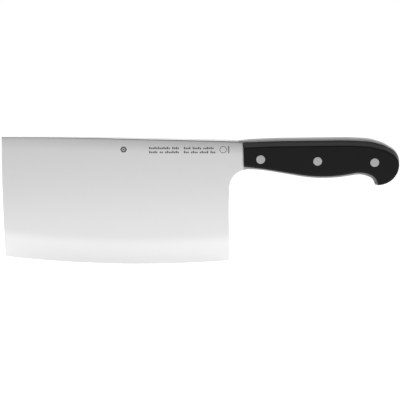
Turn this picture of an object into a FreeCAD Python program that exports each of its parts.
# Cleaver with a tall thin slicing blade, a full tang, two moulded scales and three two-piece rivets.
# Frame: +X from the blade towards the butt, +Y from one flat side to the other, +Z up to the spine.
# Origin: centre of the middle rivet, on the middle plane of the tang. Millimetres.
import FreeCAD, Part
import math
import os
import Sketcher
from FreeCAD import Vector

# ---------------------------------------------------------------- driving sizes

SIZES = {
    # blade outline: corner places, and the radius of a corner that has one
    "front_x": -248.6, "spine_z": 17.8,
    "bend_x": -186.0, "bend_round": 2400.0,
    "dip_x": -63.0, "dip_z": 15.0, "dip_round": 22.0,
    "neck_x": -68.7, "neck_z": -7.7, "neck_round": 15.5,
    "waist_x": -69.6, "waist_z": -38.0, "waist_round": 400.0,
    "heel_x": -68.6, "toe_x": -249.2, "front_bow": 1900.0,
    # cutting edge: one long arc, by its lowest point and its radius
    "edge_low_x": -141.5, "edge_low_z": -88.8, "edge_bow": 880.0,
    # handle outline, shared by the tang and the scales
    "rise_x": -55.0, "rise_z": 15.35, "rise_round": 22.0,
    "back_x": -33.0, "back_z": 16.35, "back_round": 400.0,
    "crest_x": 25.0, "crest_z": 17.1, "crest_round": 240.0,
    "fall_x": 41.0, "fall_z": 16.1, "fall_round": 35.0,
    "slope_x": 52.0, "slope_z": 12.7, "slope_round": 25.0,
    "butt_x": 65.0, "butt_z": 4.6, "butt_round": 13.5,
    "base_z": -19.0, "base_round": 17.0,
    "beak_x": 46.5, "beak_z": -21.6, "beak_round": 1.2,
    "hook_x": 44.3, "hook_z": -15.9, "hook_round": 7.0,
    "finger_x": 35.4, "finger_z": -12.1, "finger_round": 18.0,
    "belly_x": 5.0, "belly_z": -17.4, "belly_round": 110.0,
    "throat_x": -43.5, "throat_z": -8.8, "throat_round": 130.0,
    # front of the scales, which leans a little
    "nose_top_x": -59.0, "nose_low_x": -58.1,
    # thickness of the steel: the tang, and the flats at the handle and at the front
    "tang_thick": 4.3, "tang_step": 1.6,
    "taper_start_x": -60.2, "taper_end_x": -255.0, "taper_top": 18.0, "taper_low": -95.0,
    "spine_thin": 1.8, "low_thin": 1.4, "low_thick": 0.74,
    # the ground bevel and the honed edge, both running along the cutting arc
    "bevel_tall": 60.0, "bevel_slope": 0.028, "hone_tall": 0.7, "hone_thick": 0.4, "edge_thick": 0.06,
    # scales
    "scale_thick": 6.35, "crown_wide": 4.6, "crown_drop": 1.35, "nose_break": 1.1,
    # how far past the middle plane the cutting tools reach
    "cutter_clear": 8.6,
    # rivets
    "rivet_front_x": -44.8, "rivet_front_z": 1.5, "rivet_rear_x": 44.9, "rivet_rear_z": -1.0,
    "head_wide": 7.0, "head_tall": 2.2, "shank_wide": 4.6, "bore_wide": 3.2,
    "bore_floor": 1.2, "end_gap": 0.8,
}

doc = FreeCAD.newDocument("Cleaver")
sheet = doc.addObject("Spreadsheet::Sheet", "Sizes")
for row, (alias, size) in enumerate(SIZES.items(), start=1):
    sheet.set(f"A{row}", alias)
    sheet.set(f"B{row}", str(size))
    sheet.setAlias(f"B{row}", alias)
doc.recompute()

# A corner of an outline: (x cell, z cell, radius cell, inward). Inward says how the corner of a scale
# moves from the corner of the tang, as steps of tang_step along x, along z and on the radius.
HANDLE_TOP = [
    ("rise_x", "rise_z", "rise_round", (0, -1, 0)),
    ("back_x", "back_z", "back_round", (0, -1, 0)),
    ("crest_x", "crest_z", "crest_round", (0, -1, 0)),
    ("fall_x", "fall_z", "fall_round", (-0.1, -1, -1)),
    ("slope_x", "slope_z", "slope_round", (-0.2, -0.6, -0.6)),
    ("butt_x", "butt_z", "butt_round", (-0.03, -0.05, 0)),
]
HANDLE_LOW = [
    ("butt_x", "base_z", "base_round", (-0.03, 0.2, 0)),
    ("beak_x", "beak_z", "beak_round", (0.2, 0.3, 0.2)),
    ("hook_x", "hook_z", "hook_round", (0.3, 0.4, 0.7)),
    ("finger_x", "finger_z", "finger_round", (0.05, 0.7, 0.7)),
    ("belly_x", "belly_z", "belly_round", (0, 0.6, 0)),
    ("throat_x", "throat_z", "throat_round", (0, 0.3, 0)),
]

TINY = 1e-4
FULL_TURN = 360

# ---------------------------------------------------------------- helpers


def cell(alias, steps=0):
    """Expression and value of a cell, moved by a number of steps between the tang and a scale."""
    if not steps:
        return f"Sizes.{alias}", SIZES[alias]
    return f"Sizes.{alias} + {steps} * Sizes.tang_step", SIZES[alias] + steps * SIZES["tang_step"]


def corner(x, z, radius=None, inward=(0, 0, 0), inset=0):
    """One corner with its place and radius as expression and value pairs."""
    steps = [inset * step for step in inward]
    return cell(x, steps[0]), cell(z, steps[1]), radius and cell(radius, steps[2])


def edge_height(x):
    """Height of the cutting arc at the place in cell x."""
    across = f"(Sizes.{x} - Sizes.edge_low_x)"
    expression = f"Sizes.edge_low_z + Sizes.edge_bow - sqrt(Sizes.edge_bow ^ 2 - {across} ^ 2)"
    bow = SIZES["edge_bow"]
    reach = SIZES[x] - SIZES["edge_low_x"]
    return expression, SIZES["edge_low_z"] + bow - math.sqrt(bow ** 2 - reach ** 2)


def new_body(label):
    """Empty body whose label names the sub-part."""
    body = doc.addObject("PartDesign::Body", label)
    body.Label = label
    return body


def new_sketch(body, name, plane, offset=None):
    """Sketch on one of the body's origin planes, moved along its normal by an expression."""
    sketch = body.newObject("Sketcher::SketchObject", name)
    planes = [item for item in body.Origin.OriginFeatures if item.Role == plane]
    sketch.AttachmentSupport = [(planes[0], "")]
    sketch.MapMode = "FlatFace"
    if offset:
        sketch.setExpression("AttachmentOffset.Base.z", offset)
    return sketch


def bind(sketch, kind, place, expression, size):
    """Dimension on a sketch that follows an expression."""
    index = sketch.addConstraint(Sketcher.Constraint(kind, *place, size))
    sketch.setExpression(f"Constraints[{index}]", expression)


def pin(sketch, geometry, point, x, z):
    """Hold one point of the sketch at a pair of expressions."""
    bind(sketch, "DistanceX", (geometry, point), *x)
    bind(sketch, "DistanceY", (geometry, point), *z)


def arc_between(start, end, centre):
    """Arc from start to end the short way, and the sketch numbers of its start and end points."""
    first = math.atan2(start.y - centre.y, start.x - centre.x)
    last = math.atan2(end.y - centre.y, end.x - centre.x)
    circle = Part.Circle(centre, Vector(0, 0, 1), (start - centre).Length)
    if (last - first) % math.tau < math.pi:
        return Part.ArcOfCircle(circle, first, last), 1, 2
    return Part.ArcOfCircle(circle, last, first), 2, 1


def trimmed_corner(before, here, after, radius):
    """Ends and centre of the arc that rounds a corner."""
    back = (before - here).normalize()
    on = (after - here).normalize()
    half = back.getAngle(on) / 2
    reach = radius / math.tan(half)
    centre = here + (back + on).normalize() * (radius / math.sin(half))
    return here + back * reach, here + on * reach, centre


def bowed_centre(start, end, radius):
    """Centre of an arc that bulges to the left of the way from start to end."""
    along = end - start
    right = Vector(along.y, -along.x, 0).normalize()
    return (start + end) / 2 + right * math.sqrt(radius ** 2 - (along.Length / 2) ** 2)


def closed_outline(sketch, corners, bows=None):
    """Closed loop through the corners; bows gives the radius of an edge that starts at a corner."""
    bows = bows or {}
    count = len(corners)
    spots = [Vector(x[1], z[1], 0) for x, z, radius in corners]
    rounds = []
    for i, (x, z, radius) in enumerate(corners):
        if radius:
            rounds.append(trimmed_corner(spots[i - 1], spots[i], spots[(i + 1) % count], radius[1]))
        else:
            rounds.append((spots[i], spots[i], None))
    edges = []
    for i in range(count):
        start = rounds[i][1]
        end = rounds[(i + 1) % count][0]
        if i in bows:
            arc, first, last = arc_between(start, end, bowed_centre(start, end, bows[i][1]))
            edge = sketch.addGeometry(arc, False)
            bind(sketch, "Radius", (edge,), *bows[i])
            edges.append((edge, first, last))
        else:
            edges.append((sketch.addGeometry(Part.LineSegment(start, end), False), 1, 2))
    for i, (x, z, radius) in enumerate(corners):
        incoming, _, ending = edges[i - 1]
        outgoing, starting, _ = edges[i]
        if not radius:
            sketch.addConstraint(Sketcher.Constraint("Coincident", incoming, ending, outgoing, starting))
            pin(sketch, outgoing, starting, x, z)
            continue
        arc, first, last = arc_between(*rounds[i])
        bend = sketch.addGeometry(arc, False)
        sketch.addConstraint(Sketcher.Constraint("Tangent", incoming, ending, bend, first))
        sketch.addConstraint(Sketcher.Constraint("Tangent", bend, last, outgoing, starting))
        bind(sketch, "Radius", (bend,), *radius)
        apex = sketch.addGeometry(Part.Point(spots[i]), True)
        sketch.addConstraint(Sketcher.Constraint("PointOnObject", apex, 1, incoming))
        sketch.addConstraint(Sketcher.Constraint("PointOnObject", apex, 1, outgoing))
        pin(sketch, apex, 1, x, z)


def polygon(sketch, corners):
    """Closed straight-sided loop through corners given as expression and value pairs."""
    closed_outline(sketch, [(x, z, None) for x, z in corners])


def pad(body, sketch, name, length, symmetric=False, reversed_way=False):
    """Pad whose length follows an expression."""
    feature = body.newObject("PartDesign::Pad", name)
    feature.Profile = sketch
    feature.SideType = "Symmetric" if symmetric else "One side"
    feature.Reversed = reversed_way
    feature.setExpression("Length", length)
    doc.recompute()
    return feature


def needs_less(body, before, name):
    """Stop if a cut took nothing away."""
    if not body.Shape.Volume < before:
        raise RuntimeError(f"{name} cuts nothing")


def circle_holes(body, name, spots, diameter, offset=None, depth=None, reversed_way=False):
    """Round pockets at the rivets: right through, or to a depth from a plane beside the middle one."""
    sketch = new_sketch(body, f"{name}Sketch", "XZ_Plane", offset)
    for x, z in spots:
        circle = sketch.addGeometry(Part.Circle(Vector(x[1], z[1], 0), Vector(0, 0, 1), 1.0), False)
        bind(sketch, "Diameter", (circle,), *diameter)
        pin(sketch, circle, 3, x, z)
    doc.recompute()
    before = body.Shape.Volume
    pocket = body.newObject("PartDesign::Pocket", name)
    pocket.Profile = sketch
    pocket.Reversed = reversed_way
    if depth:
        pocket.Type = "Length"
        pocket.setExpression("Length", depth)
    else:
        pocket.SideType = "Symmetric"
        pocket.Type = "ThroughAll"
    doc.recompute()
    needs_less(body, before, name)


def minus(pair):
    """The same expression and value on the other side of the middle plane."""
    return f"-({pair[0]})", -pair[1]


def more(pair, alias, way):
    """An expression and value with a cell added (1) or taken away (-1)."""
    return f"{pair[0]} + {way} * Sizes.{alias}", pair[1] + way * SIZES[alias]


def half(alias):
    """Half of a cell, as when a diameter or a thickness is drawn from its middle."""
    return f"Sizes.{alias} / 2", SIZES[alias] / 2


def edges_at(feature, y, keep):
    """Names of the edges that lie in the plane at y and whose middle passes the test on x."""
    names = []
    for number, edge in enumerate(feature.Shape.Edges, start=1):
        flat = all(abs(vertex.Y - y) < TINY for vertex in edge.Vertexes)
        if flat and keep(edge.CenterOfMass.x):
            names.append(f"Edge{number}")
    return names


def bevelled(body, base, name, edges, wide, drop):
    """Chamfer with one distance across the thickness and one across the outline."""
    feature = body.newObject("PartDesign::Chamfer", name)
    feature.Base = (base, edges)
    feature.ChamferType = "Two distances"
    feature.setExpression("Size", f"Sizes.{wide}")
    feature.setExpression("Size2", f"Sizes.{drop}")
    doc.recompute()
    return feature


RIVETS = {
    "front": (cell("rivet_front_x"), cell("rivet_front_z")),
    "middle": (("0", 0.0), ("0", 0.0)),
    "rear": (cell("rivet_rear_x"), cell("rivet_rear_z")),
}

# ---------------------------------------------------------------- blade with its tang


def taper_flat(body, side):
    """Take one side of the blade down from the tang to the thin front and towards the edge."""
    sections = []
    stations = (
        ("Start", "taper_start_x", "tang_thick", "low_thick"),
        ("End", "taper_end_x", "spine_thin", "low_thin"),
    )
    for name, place, top, low in stations:
        sketch = new_sketch(body, f"Taper{name}{side:+d}", "YZ_Plane", f"Sizes.{place}")
        outside = (f"{side} * Sizes.cutter_clear", side * SIZES["cutter_clear"])
        at_top = (f"{side * 0.5} * Sizes.{top}", side * 0.5 * SIZES[top])
        at_low = (f"{side * 0.5} * Sizes.{low}", side * 0.5 * SIZES[low])
        level_top, level_low = cell("taper_top"), cell("taper_low")
        tool = [(at_low, level_low), (at_top, level_top), (outside, level_top), (outside, level_low)]
        polygon(sketch, tool)
        sections.append(sketch)
    before = body.Shape.Volume
    cut = body.newObject("PartDesign::SubtractiveLoft", f"Flat{side:+d}")
    cut.Profile = sections[0]
    cut.Sections = [sections[1]]
    cut.Ruled = True
    doc.recompute()
    needs_less(body, before, cut.Name)


def grind_bevel(body):
    """Grind the long bevel and the honed edge, turned about the centre of the cutting arc."""
    sketch = new_sketch(body, "BevelProfile", "YZ_Plane", "Sizes.edge_low_x")
    sketch.setExpression("AttachmentOffset.Base.y", "Sizes.edge_low_z + Sizes.edge_bow")
    edge = minus(cell("edge_bow"))
    below = more(edge, "hone_tall", -1)
    honed = more(edge, "hone_tall", 1)
    high = more(edge, "bevel_tall", 1)
    half_edge, half_hone = half("edge_thick"), half("hone_thick")
    rise = (SIZES["bevel_tall"] - SIZES["hone_tall"]) * SIZES["bevel_slope"]
    half_high = (
        f"{half_hone[0]} + (Sizes.bevel_tall - Sizes.hone_tall) * Sizes.bevel_slope",
        half_hone[1] + rise,
    )
    outside = cell("cutter_clear")
    profile = [(half_high, high), (half_hone, honed), (half_edge, edge), (half_edge, below),
               (outside, below), (outside, high)]
    polygon(sketch, profile)
    polygon(sketch, [(minus(y), z) for y, z in profile])
    before = body.Shape.Volume
    groove = body.newObject("PartDesign::Groove", "Bevel")
    groove.Profile = sketch
    groove.ReferenceAxis = (sketch, ["H_Axis"])
    groove.Angle = FULL_TURN
    doc.recompute()
    needs_less(body, before, groove.Name)


def make_blade():
    body = new_body("blade")
    sketch = new_sketch(body, "BladeOutline", "XZ_Plane")
    corners = [corner("front_x", "spine_z"), corner("bend_x", "spine_z", "bend_round")]
    corners += [corner("dip_x", "dip_z", "dip_round")]
    corners += [corner(*place) for place in HANDLE_TOP + HANDLE_LOW]
    corners += [corner("neck_x", "neck_z", "neck_round"), corner("waist_x", "waist_z", "waist_round")]
    corners += [(cell(x), edge_height(x), None) for x in ("heel_x", "toe_x")]
    heel = len(corners) - 2
    closed_outline(sketch, corners, {heel: cell("edge_bow"), heel + 1: cell("front_bow")})
    pad(body, sketch, "Plate", "Sizes.tang_thick", symmetric=True)
    for side in (-1, 1):
        taper_flat(body, side)
    grind_bevel(body)
    circle_holes(body, "TangHoles", RIVETS.values(), cell("shank_wide"))
    return body


# ---------------------------------------------------------------- scales


def make_scale(label, side):
    """One moulded scale, on the left (-1) or the right (+1) of the tang."""
    body = new_body(label)
    face = f"{-side / 2} * Sizes.tang_thick"
    sketch = new_sketch(body, "ScaleOutline", "XZ_Plane", face)
    corners = [corner(*place, inset=1) for place in HANDLE_TOP + HANDLE_LOW]
    top = cell("rise_z", -1)
    low = cell("throat_z", 1)
    corners = [(cell("nose_top_x"), top, None)] + corners[1:] + [(cell("nose_low_x"), low, None)]
    closed_outline(sketch, corners)
    slab = pad(body, sketch, "Slab", "Sizes.scale_thick", reversed_way=side > 0)
    outer = side * (SIZES["tang_thick"] / 2 + SIZES["scale_thick"])
    nose = SIZES["nose_low_x"]
    round_edges = edges_at(slab, outer, lambda x: x > nose + TINY)
    crown = bevelled(body, slab, "Crown", round_edges, "crown_wide", "crown_drop")
    front_edges = edges_at(crown, outer, lambda x: x < nose + TINY)
    bevelled(body, crown, "Nose", front_edges, "nose_break", "nose_break")
    circle_holes(body, "ShankHoles", RIVETS.values(), cell("shank_wide"))
    face = f"{-side} * (Sizes.tang_thick / 2 + Sizes.scale_thick)"
    circle_holes(body, "HeadSeats", RIVETS.values(), cell("head_wide"), face, "Sizes.head_tall", side > 0)
    return body


# ---------------------------------------------------------------- rivets


def turned(body, profile):
    """Solid of revolution about the body's own Y axis, from radius and length pairs."""
    sketch = new_sketch(body, "Profile", "XY_Plane")
    polygon(sketch, profile)
    turn = body.newObject("PartDesign::Revolution", "Turned")
    turn.Profile = sketch
    turn.ReferenceAxis = (sketch, ["V_Axis"])
    turn.Angle = FULL_TURN
    doc.recompute()


def make_rivet(place, x, z):
    """One two-piece rivet: the barrel from the left side and the pin pressed into it from the right."""
    axis = ("0", 0.0)
    face = more(half("tang_thick"), "scale_thick", 1)
    seat = more(face, "head_tall", -1)
    mouth = more(seat, "end_gap", -1)
    floor = more(seat, "bore_floor", -1)
    tip = more(floor, "end_gap", -1)
    head, shank, bore = half("head_wide"), half("shank_wide"), half("bore_wide")
    barrel = new_body(f"rivet_barrel_{place}")
    barrel_profile = [(axis, minus(face)), (axis, minus(floor)), (bore, minus(floor)), (bore, mouth),
                      (shank, mouth), (shank, minus(seat)), (head, minus(seat)), (head, minus(face))]
    turned(barrel, barrel_profile)
    pin_body = new_body(f"rivet_pin_{place}")
    pin_profile = [(axis, minus(tip)), (axis, face), (head, face), (head, seat), (bore, seat),
                   (bore, minus(tip))]
    turned(pin_body, pin_profile)
    for body in (barrel, pin_body):
        body.setExpression("Placement.Base.x", x[0])
        body.setExpression("Placement.Base.z", z[0])
    return [barrel, pin_body]


# ---------------------------------------------------------------- assembly

subparts = [make_blade(), make_scale("left_scale", -1), make_scale("right_scale", 1)]
for place, (x, z) in RIVETS.items():
    subparts += make_rivet(place, x, z)
doc.recompute()

for item in doc.Objects:
    if "Invalid" in item.State or "Error" in item.State:
        raise RuntimeError(f"{item.Label} failed: {item.State}")
for item in subparts:
    if item.Shape.isNull() or not item.Shape.isValid():
        raise RuntimeError(f"{item.Label} has no valid shape")

os.makedirs("parts", exist_ok=True)
for item in subparts:
    item.Shape.exportStep(f"parts/{item.Label}.step")
    box = item.Shape.optimalBoundingBox()
    low = [round(v, 2) for v in (box.XMin, box.YMin, box.ZMin)]
    high = [round(v, 2) for v in (box.XMax, box.YMax, box.ZMax)]
    print(f"{item.Label:22} solids {len(item.Shape.Solids)} volume {item.Shape.Volume:9.1f} {low} {high}")
